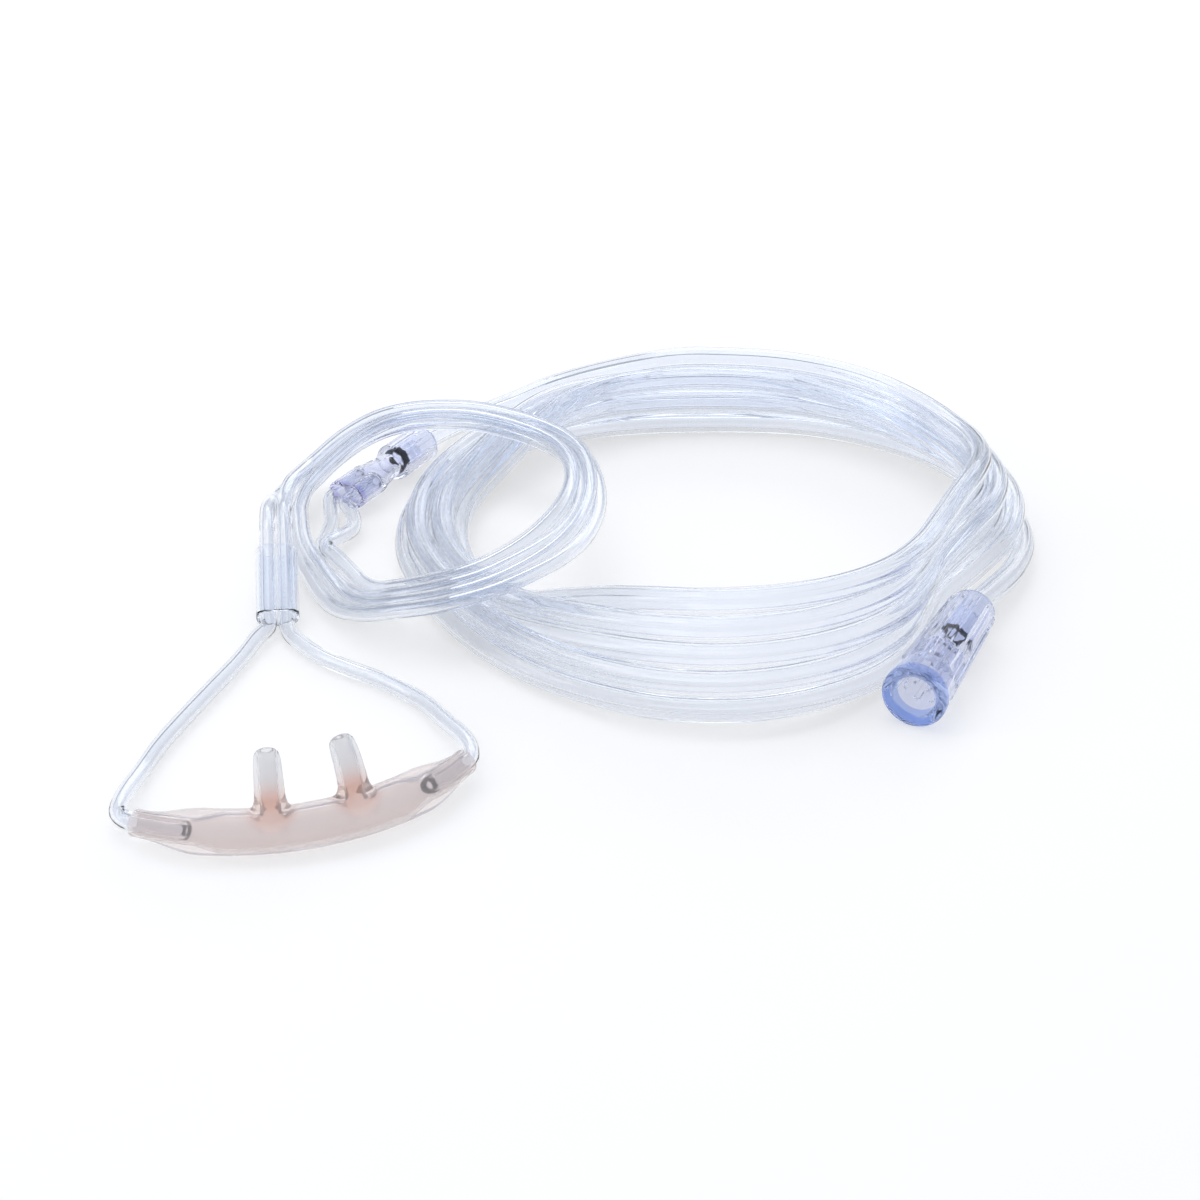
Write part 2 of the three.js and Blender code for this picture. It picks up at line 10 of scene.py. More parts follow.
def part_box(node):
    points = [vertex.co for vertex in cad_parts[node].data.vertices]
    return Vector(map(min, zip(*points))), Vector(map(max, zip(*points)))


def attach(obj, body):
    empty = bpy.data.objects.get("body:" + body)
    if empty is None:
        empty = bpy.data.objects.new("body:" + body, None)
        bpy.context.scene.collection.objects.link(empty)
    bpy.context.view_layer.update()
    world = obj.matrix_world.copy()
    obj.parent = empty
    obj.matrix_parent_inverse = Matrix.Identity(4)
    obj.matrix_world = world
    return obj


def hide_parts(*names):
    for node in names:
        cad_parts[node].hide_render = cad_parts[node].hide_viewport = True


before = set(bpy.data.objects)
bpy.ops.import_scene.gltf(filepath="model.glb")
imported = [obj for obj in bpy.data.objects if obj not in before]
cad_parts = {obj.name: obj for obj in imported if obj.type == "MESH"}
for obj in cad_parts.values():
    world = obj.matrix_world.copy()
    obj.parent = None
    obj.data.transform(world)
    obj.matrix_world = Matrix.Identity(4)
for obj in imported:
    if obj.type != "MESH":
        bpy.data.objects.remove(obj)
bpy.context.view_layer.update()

MM = 0.001

# The layout is the floor plan that the part was drawn on, in millimetres.

PORT_MOUTH = (60.2, -49.0)
PORT_HEADING = math.radians(244.4)
PORT_LENGTH = 37.5
LAYOUT_TURN = -math.pi / 2 - PORT_HEADING


def layout_shift():
    """Where the layout's origin lies in the row frame, from the end connector's mouth."""
    low, high = (Vector(corner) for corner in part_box("end_connector"))
    mouth = Matrix.Rotation(LAYOUT_TURN, 3, "Z") @ Vector((*PORT_MOUTH, 0)) * MM
    return Vector(((low.x + high.x) / 2 - mouth.x, low.y - mouth.y, 0))


LAYOUT_SHIFT = layout_shift()


def placed(point):
    """A layout point in millimetres, in the row frame in metres."""
    return Matrix.Rotation(LAYOUT_TURN, 3, "Z") @ Vector(point) * MM + LAYOUT_SHIFT


# Camera

CAMERA_DISTANCE = 500
CAMERA_ELEVATION = math.radians(30.3)
CAMERA_LENS = 70.8


def add_camera():
    data = bpy.data.cameras.new("camera")
    data.sensor_width = 36
    data.lens = CAMERA_LENS
    data.clip_start = 0.01
    camera = bpy.data.objects.new("camera", data)
    bpy.context.scene.collection.objects.link(camera)
    back = CAMERA_DISTANCE * math.cos(CAMERA_ELEVATION)
    up = CAMERA_DISTANCE * math.sin(CAMERA_ELEVATION)
    camera.location = placed((0, -back, up))
    looking = placed((0, 0, 0)) - camera.location
    camera.rotation_euler = looking.to_track_quat("-Z", "Y").to_euler()
    bpy.context.scene.camera = camera


add_camera()

# Cord facts

HEADSET_DIAMETER = 3.4
HEADSET_BORE = 1.9
SUPPLY_DIAMETER = 5.2
SUPPLY_BORE = 3.3
BORE_LOBES = 6
BORE_LOBE_HEIGHT = 0.2
FIT_GAP = 0.3
FLOOR_GAP = 0.03
STRAND_GAP = 0.1

# Coils: radius and height of the outermost strand at equal angles from +X counterclockwise,
# and how the strands stack, as lean and opening in degrees.

SUPPLY_COIL = {
    "centre": (25.7, 21),
    "pitch": SUPPLY_DIAMETER + STRAND_GAP,
    "radius": (63.5, 66.5, 63.5, 59.5, 63, 68.5, 68, 65.5, 67.5, 72.5, 62.3, 50),
    "base": (2.7, 2.7, 2.7, 2.7, 2.7, 2.7, 2.7, 2.7, 2.7, 2.7, -2, -2.2),
    "lean": (60, 52, 70, 88, 72, 12, 5, 8, 42, 66, 80, 90),
    "opening": (52, 38, 34, 34, 33, 32, 32, 34, 60, 85, 80, 70),
}
HEADSET_COIL = {
    "centre": (-34, 24),
    "pitch": HEADSET_DIAMETER + STRAND_GAP,
    "radius": (33.5, 33.5, 33.5, 34.5, 38.5, 41, 37, 37.5, 46, 52, 44.8, 37.3),
    "base": (14.8, 14.8, 14.8, 15.1, 12.3, 4, 1.8, 1.8, 3.5, 12.5, 15.2, 14.8),
    "lean": (0, 0, 0, 0, 0, 0, 0, 0, 0, 0, 0, 0),
    "opening": (32, 32, 32, 32, 32, 32, 32, 40, 75, 88, 84, 50),
}
COIL_STEP = 12
SUPPLY_TURNS = 5
SUPPLY_CROSSING = (225, 315)
HEADSET_CROSSING = (215, 315)


def around(values, degrees):
    """Smooth closed interpolation of values that are given at equal angles."""
    place = degrees % 360 / 360 * len(values)
    index = math.floor(place)
    t = place - index
    a, b, c, d = (values[(index + i) % len(values)] for i in (-1, 0, 1, 2))
    return b + 0.5 * t * (c - a + t * (2 * a - 5 * b + 4 * c - d + t * (3 * (b - c) + d - a)))


def strand_point(coil, n, degrees):
    """Strand number n of a coil, as a layout point. Strands alternate between two rows."""
    lean = math.radians(around(coil["lean"], degrees))
    opening = math.radians(around(coil["opening"], degrees))
    row = 0.5 - 0.5 * math.cos(math.pi * n)
    along = coil["pitch"] * math.sin(opening) * n
    across = coil["pitch"] * math.cos(opening) * row
    radius = around(coil["radius"], degrees) - along * math.cos(lean) + across * math.sin(lean)
    height = around(coil["base"], degrees) + along * math.sin(lean) + across * math.cos(lean)
    angle = math.radians(degrees)
    return (
        coil["centre"][0] + radius * math.cos(angle),
        coil["centre"][1] + radius * math.sin(angle),
        height,
    )


def smooth_step(low, high, value):
    t = min(max((value - low) / (high - low), 0), 1)
    return t * t * (3 - 2 * t)


def wound(coil, strand_number, start, end):
    """Layout points along a coil, from start to end in degrees travelled clockwise from its left."""
    count = round((end - start) / COIL_STEP)
    points = []
    for i in range(count + 1):
        travelled = start + (end - start) * i / count
        turn = math.floor(travelled / 360)
        n = strand_number(turn, travelled - 360 * turn)
        points.append(strand_point(coil, n, 180 - travelled))
    return points


def supply_strand(turn, within):
    """The supply tube winds outward, one strand number less with each turn."""
    return SUPPLY_TURNS - turn - smooth_step(*SUPPLY_CROSSING, within)


def headset_strand(first):
    """Both headset tubes wind side by side, two strand numbers further with each turn."""
    return lambda turn, within: first + 2 * (turn + smooth_step(*HEADSET_CROSSING, within))


# The moulded pieces' places, as in the part

NASAL_MIDDLE = (-54.3, -76.6)
NASAL_TURN = math.radians(18.4)
NASAL_CHORD = 61.8
NASAL_HALF_ANGLE = math.radians(39)
NASAL_ARC_RADIUS = NASAL_CHORD / 2 / math.sin(NASAL_HALF_ANGLE)
NASAL_BEND = NASAL_ARC_RADIUS * (1 - math.cos(NASAL_HALF_ANGLE))
NASAL_AXIS_HEIGHT = 4.3
NASAL_INSERTION = 11


def nasal_socket_point(side, distance):
    """A point on the nasal piece's axis, outward from the socket on the left, -1, or right, 1."""
    reach = NASAL_HALF_ANGLE + min(distance, 0) / NASAL_ARC_RADIUS
    overrun = max(distance, 0)
    back = NASAL_ARC_RADIUS * (1 - math.cos(reach)) + overrun * math.sin(reach) - NASAL_BEND
    along = NASAL_ARC_RADIUS * math.sin(reach) + overrun * math.cos(reach)
    x = side * along * math.cos(NASAL_TURN) - back * math.sin(NASAL_TURN)
    y = side * along * math.sin(NASAL_TURN) + back * math.cos(NASAL_TURN)
    return (NASAL_MIDDLE[0] + x, NASAL_MIDDLE[1] + y, NASAL_AXIS_HEIGHT)


SLIDER_LENGTH = 19.5
SLIDER_TRAVEL = 6
SLIDER_RUN_PAST = 2
SLIDER_LOW_END = Vector((-66.6, -12.4, 2.9))
SLIDER_HEADING = math.radians(96.5)
SLIDER_PITCH = math.radians(16)
SLIDER_TUBE_PITCH = HEADSET_DIAMETER + FIT_GAP
SLIDER_WALL = 0.6
SLIDER_AXIS = Vector((
    math.cos(SLIDER_PITCH) * math.cos(SLIDER_HEADING),
    math.cos(SLIDER_PITCH) * math.sin(SLIDER_HEADING),
    math.sin(SLIDER_PITCH),
))
SLIDER_ACROSS = Vector((math.sin(SLIDER_HEADING), -math.cos(SLIDER_HEADING), 0))


def slider_point(side, distance):
    """A point on a headset tube's straight run, from the slider's low end."""
    across = SLIDER_ACROSS * (side * SLIDER_TUBE_PITCH / 2)
    return tuple(SLIDER_LOW_END + SLIDER_AXIS * distance + across)


def straight_run(side):
    end = SLIDER_LENGTH + SLIDER_TRAVEL
    stops = (-SLIDER_RUN_PAST, -FIT_GAP, SLIDER_LENGTH / 2, end, end + SLIDER_RUN_PAST)
    return [slider_point(side, distance) for distance in stops]


Y_SOCKET_END = (-57.2, 39.2)
Y_HEADING = math.radians(60)
Y_LENGTH = 30.5
Y_TUBE_PITCH = HEADSET_DIAMETER + 2 * FIT_GAP
Y_AXIS_HEIGHT = 4.45
Y_TUBE_INSERTION = 8.5
Y_SUPPLY_INSERTION = 11


def y_point(side, distance):
    """A point on the Y connector's axis, or on the axis of its left or right headset socket."""
    across = side * Y_TUBE_PITCH / 2
    return (
        Y_SOCKET_END[0] + distance * math.cos(Y_HEADING) + across * math.sin(Y_HEADING),
        Y_SOCKET_END[1] + distance * math.sin(Y_HEADING) - across * math.cos(Y_HEADING),
        Y_AXIS_HEIGHT,
    )


PORT_AXIS_HEIGHT = 6.6
PORT_TUBE_INSERTION = 15


def port_point(distance):
    """A point on the end connector's axis, inward from its mouth."""
    return (
        PORT_MOUTH[0] - distance * math.cos(PORT_HEADING),
        PORT_MOUTH[1] - distance * math.sin(PORT_HEADING),
        PORT_AXIS_HEIGHT,
    )


FLOOR_HEIGHT = HEADSET_DIAMETER / 2 + 0.1

LEFT_ROUTE = [
    nasal_socket_point(-1, -NASAL_INSERTION + FIT_GAP),
    nasal_socket_point(-1, -5),
    nasal_socket_point(-1, 0),
    nasal_socket_point(-1, 1.2),
    (-86.9, -83.4, 4.1),
    (-87.3, -79, 3.6),
    (-86.9, -73.5, 2.8),
    (-85.7, -66, FLOOR_HEIGHT),
    (-83.8, -58, FLOOR_HEIGHT),
    (-81, -49.5, FLOOR_HEIGHT),
    (-76.9, -38.3, FLOOR_HEIGHT),
    (-72.5, -26.5, FLOOR_HEIGHT),
    (-70, -18.5, 2.1),
    *straight_run(-1),
    (-72.2, 20.5, 10.4),
    (-72.6, 28, 8.6),
    (-72.2, 34, 6.6),
]
RIGHT_ROUTE = [
    nasal_socket_point(1, -NASAL_INSERTION + FIT_GAP),
    nasal_socket_point(1, -5),
    nasal_socket_point(1, 0),
    nasal_socket_point(1, 1.2),
    (-24.6, -61.6, 4),
    (-26.4, -56.6, 3.4),
    (-29.5, -51, 2.6),
    (-35.2, -42, FLOOR_HEIGHT),
    (-42.9, -35, FLOOR_HEIGHT),
    (-50.1, -30.3, FLOOR_HEIGHT),
    (-56, -26, FLOOR_HEIGHT),
    (-60.6, -21.2, 1.9),
    (-63.4, -17.4, 2),
    *straight_run(1),
    (-68.7, 20.5, 10.8),
    (-69.2, 28, 9.6),
    (-68.8, 35, 9.8),
]
LEFT_TAIL = [
    (-59.6, 29.5, 2.6),
    (-60.2, 34.5, 3.9),
    y_point(-1, -3),
    y_point(-1, 0),
    y_point(-1, Y_TUBE_INSERTION - FIT_GAP),
]
RIGHT_TAIL = [
    (-54.6, 27.5, 2.6),
    (-55.4, 32.5, 3.9),
    y_point(1, -3),
    y_point(1, 0),
    y_point(1, Y_TUBE_INSERTION - FIT_GAP),
]
SUPPLY_LEAD = [
    y_point(0, Y_LENGTH - Y_SUPPLY_INSERTION + FIT_GAP),
    y_point(0, Y_LENGTH),
    y_point(0, Y_LENGTH + 3),
    (-34, 78, 3.4),
    (-22, 89, 3.4),
    (-10, 94, 6.5),
]
SUPPLY_TAIL = [
    (92, 31, 2.8),
    (91.9, 18, 3.4),
    (87.6, 4.8, 4.2),
    (81.3, -6.4, 5.6),
    port_point(PORT_LENGTH + 2),
    port_point(PORT_LENGTH),
    port_point(PORT_LENGTH - PORT_TUBE_INSERTION + FIT_GAP),
]
HEADSET_JOIN = 38
HEADSET_LEAVE = 702
SUPPLY_JOIN = 82
SUPPLY_LEAVE = 1948

left_turns = wound(HEADSET_COIL, headset_strand(0), HEADSET_JOIN, HEADSET_LEAVE)
right_turns = wound(HEADSET_COIL, headset_strand(1), HEADSET_JOIN, HEADSET_LEAVE)
supply_turns = wound(SUPPLY_COIL, supply_strand, SUPPLY_JOIN, SUPPLY_LEAVE)
left_points = LEFT_ROUTE + left_turns + LEFT_TAIL
right_points = RIGHT_ROUTE + right_turns + RIGHT_TAIL
supply_points = SUPPLY_LEAD + supply_turns + SUPPLY_TAIL


def resampled(points, step):
    """A smooth curve through the points, as points a step apart."""
    knots = [0.0]
    for a, b in zip(points, points[1:]):
        knots.append(knots[-1] + max((b - a).length, 1e-6) ** 0.5)
    fine = []
    per_span = 16
    padded = [2 * points[0] - points[1], *points, 2 * points[-1] - points[-2]]
    times = [2 * knots[0] - knots[1], *knots, 2 * knots[-1] - knots[-2]]
    for i in range(1, len(padded) - 2):
        p0, p1, p2, p3 = padded[i - 1:i + 3]
        t0, t1, t2, t3 = times[i - 1:i + 3]
        for j in range(per_span):
            t = t1 + (t2 - t1) * j / per_span
            a1 = p0 * (t1 - t) / (t1 - t0) + p1 * (t - t0) / (t1 - t0)
            a2 = p1 * (t2 - t) / (t2 - t1) + p2 * (t - t1) / (t2 - t1)
            a3 = p2 * (t3 - t) / (t3 - t2) + p3 * (t - t2) / (t3 - t2)
            b1 = a1 * (t2 - t) / (t2 - t0) + a2 * (t - t0) / (t2 - t0)
            b2 = a2 * (t3 - t) / (t3 - t1) + a3 * (t - t1) / (t3 - t1)
            fine.append(b1 * (t2 - t) / (t2 - t1) + b2 * (t - t1) / (t2 - t1))
    fine.append(points[-1].copy())
    lengths = [0.0]
    for a, b in zip(fine, fine[1:]):
        lengths.append(lengths[-1] + (b - a).length)
    count = max(2, round(lengths[-1] / step))
    even = []
    index = 0
    for k in range(count + 1):
        target = lengths[-1] * k / count
        while index < len(fine) - 2 and lengths[index + 1] < target:
            index += 1
        span = max(lengths[index + 1] - lengths[index], 1e-9)
        even.append(fine[index].lerp(fine[index + 1], (target - lengths[index]) / span))
    return even, lengths[-1]


def travelling_frames(path):
    """Two directions across the path at each point, turned as little as possible along it."""
    frames = []
    side = None
    for i, point in enumerate(path):
        ahead = path[min(i + 1, len(path) - 1)] - path[max(i - 1, 0)]
        ahead.normalize()
        if side is None:
            side = ahead.orthogonal()
        side = (side - ahead * side.dot(ahead)).normalized()
        frames.append((side.copy(), ahead.cross(side)))
    return frames


# Mesh builders


def new_piece(name, vertices, faces):
    mesh = bpy.data.meshes.new(name)
    mesh.from_pydata(vertices, [], faces)
    mesh.update()
    work = bmesh.new()
    work.from_mesh(mesh)
    bmesh.ops.recalc_face_normals(work, faces=work.faces)
    work.to_mesh(mesh)
    work.free()
    mesh.polygons.foreach_set("use_smooth", [True] * len(mesh.polygons))
    piece = bpy.data.objects.new(name, mesh)
    bpy.context.scene.collection.objects.link(piece)
    return piece


def band(start, after, sides):
    """Faces between two rings of points, given by the number of each ring's first point."""
    pairs = [(j, (j + 1) % sides) for j in range(sides)]
    return [(start + j, after + j, after + k, start + k) for j, k in pairs]


def closed_skin(name, rings):
    """A closed surface over rings of equally many points, whose last ring joins the first."""
    sides = len(rings[0])
    vertices = [point for ring in rings for point in ring]
    faces = []
    for i in range(len(rings)):
        faces += band(i * sides, (i + 1) % len(rings) * sides, sides)
    return new_piece(name, vertices, faces)


def capped_skins(name, ring_lists):
    """One mesh of several solids, each a list of rings that is capped at both ends."""
    vertices, faces = [], []
    for rings in ring_lists:
        sides = len(rings[0])
        first = len(vertices)
        for i in range(len(rings) - 1):
            faces += band(first + i * sides, first + (i + 1) * sides, sides)
        vertices += [point for ring in rings for point in ring]
        last = len(vertices) - sides
        faces.append(tuple(range(first, first + sides)))
        faces.append(tuple(range(last, last + sides)))
    return new_piece(name, vertices, faces)


def settled(piece):
    """Makes a piece's modifiers permanent."""
    depsgraph = bpy.context.evaluated_depsgraph_get()
    mesh = bpy.data.meshes.new_from_object(piece.evaluated_get(depsgraph))
    piece.modifiers.clear()
    piece.data = mesh
    mesh.polygons.foreach_set("use_smooth", [True] * len(mesh.polygons))
    return piece


def softened(piece, voxel, rounds):
    """Joins a piece's overlapping solids into one fine mesh with soft edges."""
    remesh = piece.modifiers.new("fine", "REMESH")
    remesh.mode = "VOXEL"
    remesh.voxel_size = voxel * MM
    soften = piece.modifiers.new("soften", "SMOOTH")
    soften.factor = 0.5
    soften.iterations = rounds
    return settled(piece)


def hollowed(piece, cavity, rounds):
    """Cuts a cavity out of a piece and softens the edges it leaves."""
    cut = piece.modifiers.new("cut", "BOOLEAN")
    cut.operation = "DIFFERENCE"
    cut.solver = "MANIFOLD"
    cut.object = cavity
    soften = piece.modifiers.new("soften", "SMOOTH")
    soften.factor = 0.5
    soften.iterations = rounds
    settled(piece)
    bpy.data.objects.remove(cavity)
    return piece


def hollow_tube(name, path, outer_radius, bore_radius, sides):
    """A hollow tube along a path. bore_radius is a function of the angle round it."""
    frames = travelling_frames(path)
    angles = [2 * math.pi * j / sides for j in range(sides)]

    def ring(i, radius):
        side, up = frames[i]
        return [path[i] + (side * math.cos(a) + up * math.sin(a)) * radius(a) for a in angles]

    outside = [ring(i, lambda a: outer_radius) for i in range(len(path))]
    inside = [ring(i, bore_radius) for i in reversed(range(len(path)))]
    return closed_skin(name, outside + inside)


HEADSET_SIDES = 18
HEADSET_STEP = 1.4
SUPPLY_SIDES = 24
SUPPLY_STEP = 2.2


def headset_bore(angle):
    return HEADSET_BORE / 2 * MM


def supply_bore(angle):
    return (SUPPLY_BORE / 2 + BORE_LOBE_HEIGHT * math.cos(BORE_LOBES * angle)) * MM


def add_tube(name, points, diameter, bore, sides, step):
    path, length = resampled([placed(point) for point in points], step * MM)
    for point in path:
        point.z = max(point.z, (diameter / 2 + FLOOR_GAP) * MM)
    tube = hollow_tube(name, path, diameter / 2 * MM, bore, sides)
    return tube, path, length


left_tube, left_path, left_length = add_tube(
    "headset_hose_left", left_points, HEADSET_DIAMETER, headset_bore, HEADSET_SIDES, HEADSET_STEP)
right_tube, right_path, right_length = add_tube(
    "headset_hose_right", right_points, HEADSET_DIAMETER, headset_bore, HEADSET_SIDES, HEADSET_STEP)
supply_tube, supply_path, supply_length = add_tube(
    "supply_hose", supply_points, SUPPLY_DIAMETER, supply_bore, SUPPLY_SIDES, SUPPLY_STEP)
print("cord lengths", round(left_length, 3), round(right_length, 3), round(supply_length, 3))

# Materials


class Nodes:
    """A short way to make and join shader nodes."""

    def __init__(self, name):
        self.material = bpy.data.materials.new(name)
        self.material.use_nodes = True
        self.tree = self.material.node_tree
        self.shader = self.tree.nodes["Principled BSDF"]
        self.place = self.make("ShaderNodeTexCoord").outputs["Object"]

    def make(self, kind, **settings):
        node = self.tree.nodes.new(kind)
        for key, value in settings.items():
            setattr(node, key, value)
        return node

    def join(self, output, target):
        self.tree.links.new(output, target)

    def noise(self, scale, detail=2.0):
        node = self.make("ShaderNodeTexNoise")
        node.inputs["Scale"].default_value = scale
        node.inputs["Detail"].default_value = detail
        self.join(self.place, node.inputs["Vector"])
        return node.outputs["Fac"]

    def ranged(self, value, low, high, to_low, to_high):
        node = self.make("ShaderNodeMapRange")
        for name, number in zip(("From Min", "From Max", "To Min", "To Max"), (low, high, to_low, to_high)):
            node.inputs[name].default_value = number
        self.join(value, node.inputs["Value"])
        return node.outputs["Result"]

    def mixed(self, factor, first, second):
        """A colour between two colours or sockets."""
        node = self.make("ShaderNodeMix", data_type="RGBA")
        self.join(factor, node.inputs["Factor"])
        for name, value in (("A", first), ("B", second)):
            socket = [s for s in node.inputs if s.name == name and s.type == "RGBA"][0]
            if isinstance(value, tuple):
                socket.default_value = (*value, 1)
            else:
                self.join(value, socket)
        return [s for s in node.outputs if s.type == "RGBA"][0]

    def distance_along(self, direction):
        """How far a place lies along a direction, from the origin."""
        node = self.make("ShaderNodeVectorMath", operation="DOT_PRODUCT")
        node.inputs[1].default_value = direction
        self.join(self.place, node.inputs[0])
        return node.outputs["Value"]

    def distance_to(self, point):
        node = self.make("ShaderNodeVectorMath", operation="DISTANCE")
        node.inputs[1].default_value = point
        self.join(self.place, node.inputs[0])
        return node.outputs["Value"]

    def clear(self, ior, transmission):
        self.shader.inputs["IOR"].default_value = ior
        self.shader.inputs["Transmission Weight"].default_value = transmission


def clear_vinyl(name, first, second, ior=1.38, transmission=1.0, low=0.02, high=0.05):
    nodes = Nodes(name)
    nodes.clear(ior, transmission)
    nodes.join(nodes.mixed(nodes.noise(60), first, second), nodes.shader.inputs["Base Color"])
    nodes.join(nodes.ranged(nodes.noise(150), 0.3, 0.7, low, high), nodes.shader.inputs["Roughness"])
    return nodes


SUPPLY_LOOK = clear_vinyl("clear_vinyl_supply", (0.91, 0.93, 0.97), (0.95, 0.965, 0.99)).material
HEADSET_LOOK = clear_vinyl("clear_vinyl_headset", (0.91, 0.93, 0.97), (0.95, 0.965, 0.99)).material
SLEEVE_LOOK = clear_vinyl("clear_sleeve", (0.9, 0.925, 0.975), (0.94, 0.96, 0.99), 1.22).material


def pink_vinyl(prong_roots, prong_tips):
    nodes = clear_vinyl(
        "soft_pink_vinyl", (0.965, 0.895, 0.875), (0.975, 0.915, 0.9), 1.28, 0.8, 0.08, 0.16)
    colour = nodes.shader.inputs["Base Color"].links[0].from_socket
    for root in prong_roots:
        near = nodes.ranged(nodes.distance_to(root), 0.0025, 0.0055, 1, 0)
        colour = nodes.mixed(near, colour, (0.95, 0.74, 0.66))
    for tip in prong_tips:
        near = nodes.ranged(nodes.distance_to(tip), 0.004, 0.0095, 1, 0)
        colour = nodes.mixed(near, colour, (0.965, 0.96, 0.965))
    nodes.join(colour, nodes.shader.inputs["Base Color"])
    return nodes.material


def blue_plastic(name, base, accent, start, towards, reach):
    """Clear blue-tinted plastic, deeper in colour for the first stretch from start."""
    nodes = clear_vinyl(name, base, tuple(min(1, c * 1.04) for c in base), 1.25, 0.97, 0.03, 0.08)
    colour = nodes.shader.inputs["Base Color"].links[0].from_socket
    direction = (towards - start).normalized()
    edge = start.dot(direction) + reach * MM
    near = nodes.ranged(nodes.distance_along(direction), edge - 0.1 * MM, edge + 0.1 * MM, 1, 0)
    nodes.join(nodes.mixed(near, colour, accent), nodes.shader.inputs["Base Color"])
    return nodes.material


# Moulded pieces


def smoothed_copy(name, node, voxel, rounds):
    """A fine copy of a CAD node's shape with softened edges."""
    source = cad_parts[node]
    mesh = source.data.copy()
    mesh.name = name
    mesh.materials.clear()
    mesh.transform(source.matrix_world)
    piece = bpy.data.objects.new(name, mesh)
    bpy.context.scene.collection.objects.link(piece)
    return softened(piece, voxel, rounds)


NASAL_HALF_LENGTH = NASAL_ARC_RADIUS * NASAL_HALF_ANGLE
NASAL_BODY_RADIUS = 4.3
NASAL_SOCKET_RADIUS = 2.6
NASAL_SHOULDER = (2, 13)
NASAL_BORE_RADIUS = HEADSET_DIAMETER / 2 + FIT_GAP
NASAL_CAVITY_RADIUS = 3.0
NASAL_CAVITY_FLARE = 6
PRONG_SPACING = 15.6
PRONG_LENGTH = 15
PRONG_BEND_RADIUS = 15
PRONG_BASE_RADIUS = 3.1
PRONG_TIP_RADIUS = 2.45
PRONG_FLARE = (3.2, 6.4)
PRONG_FLARE_RISE = 1.0
PRONG_DOME_LENGTH = 2.4
PRONG_DOME_DROP = 0.75
PRONG_BORE_RADIUS = 1.5
PRONG_LIP_LENGTH = 0.8
PRONG_LIP_FLARE = 0.15
PRONG_START = 0.8
ROUND_SIDES = 48
BODY_STEP = 0.5
PRONG_STEP = 0.35
NASAL_VOXEL = 0.32
Y_VOXEL = 0.25


def prong_point(side, distance):
    """A point on a prong's curved axis."""
    angle = side * PRONG_SPACING / 2 / NASAL_ARC_RADIUS
    turn = distance / PRONG_BEND_RADIUS
    out = PRONG_BEND_RADIUS * (1 - math.cos(turn))
    rise = PRONG_BEND_RADIUS * math.sin(turn)
    reach = NASAL_ARC_RADIUS - out
    back = NASAL_ARC_RADIUS - reach * math.cos(angle) - NASAL_BEND
    along = reach * math.sin(angle)
    x = along * math.cos(NASAL_TURN) - back * math.sin(NASAL_TURN)
    y = along * math.sin(NASAL_TURN) + back * math.cos(NASAL_TURN)
    return placed((NASAL_MIDDLE[0] + x, NASAL_MIDDLE[1] + y, NASAL_AXIS_HEIGHT + rise))


def body_point(along):
    """A point on the nasal body's axis, from its middle. The axis runs on past both ends."""
    side = 1 if along > 0 else -1
    return placed(nasal_socket_point(side, abs(along) - NASAL_HALF_LENGTH))


def body_outer(along):
    """Outside radius of the nasal body at a distance from its middle."""
    inward = NASAL_HALF_LENGTH - abs(along)
    widening = smooth_step(*NASAL_SHOULDER, inward)
    return NASAL_SOCKET_RADIUS + (NASAL_BODY_RADIUS - NASAL_SOCKET_RADIUS) * widening


def body_inner(along):
    """Radius of the tube sockets and of the cavity between them."""
    inward = NASAL_HALF_LENGTH - abs(along)
    flare = smooth_step(NASAL_INSERTION, NASAL_INSERTION + NASAL_CAVITY_FLARE, inward)
    return NASAL_BORE_RADIUS + (NASAL_CAVITY_RADIUS - NASAL_BORE_RADIUS) * flare


def prong_outer(distance):
    """Outside radius of a prong, which flares at its root and is domed at its tip."""
    taper = (PRONG_TIP_RADIUS - PRONG_BASE_RADIUS) * distance / PRONG_LENGTH
    flare = PRONG_FLARE_RISE * (1 - smooth_step(*PRONG_FLARE, distance))
    dome = min(max(distance - PRONG_LENGTH + PRONG_DOME_LENGTH, 0) / PRONG_DOME_LENGTH, 1)
    return PRONG_BASE_RADIUS + taper + flare - PRONG_DOME_DROP * (1 - math.sqrt(1 - dome ** 2))


def prong_inner(distance):
    flare = smooth_step(PRONG_LENGTH - PRONG_LIP_LENGTH, PRONG_LENGTH, distance)
    return PRONG_BORE_RADIUS + PRONG_LIP_FLARE * flare


def round_rings(path, radii):
    """Round rings of the given radii, in millimetres, along a path."""
    angles = [2 * math.pi * j / ROUND_SIDES for j in range(ROUND_SIDES)]
    rings = []
    for point, (side, up), radius in zip(path, travelling_frames(path), radii):
        rings.append([point + (side * math.cos(a) + up * math.sin(a)) * radius * MM for a in angles])
    return rings


def spaced(start, end, step):
    count = round((end - start) / step)
    return [start + (end - start) * i / count for i in range(count + 1)]


def nasal_solid(name, body_radius, prong_radius, past, rounds):
    """The body with both prongs as one solid, run on past its four ends."""
    reach = NASAL_HALF_LENGTH + past
    along = spaced(-reach, reach, BODY_STEP)
    solids = [round_rings([body_point(d) for d in along], [body_radius(d) for d in along])]
    out = spaced(PRONG_START, PRONG_LENGTH + past, PRONG_STEP)
    for side in (-1, 1):
        solids.append(round_rings([prong_point(side, d) for d in out], [prong_radius(d) for d in out]))
    return softened(capped_skins(name, solids), NASAL_VOXEL, rounds)


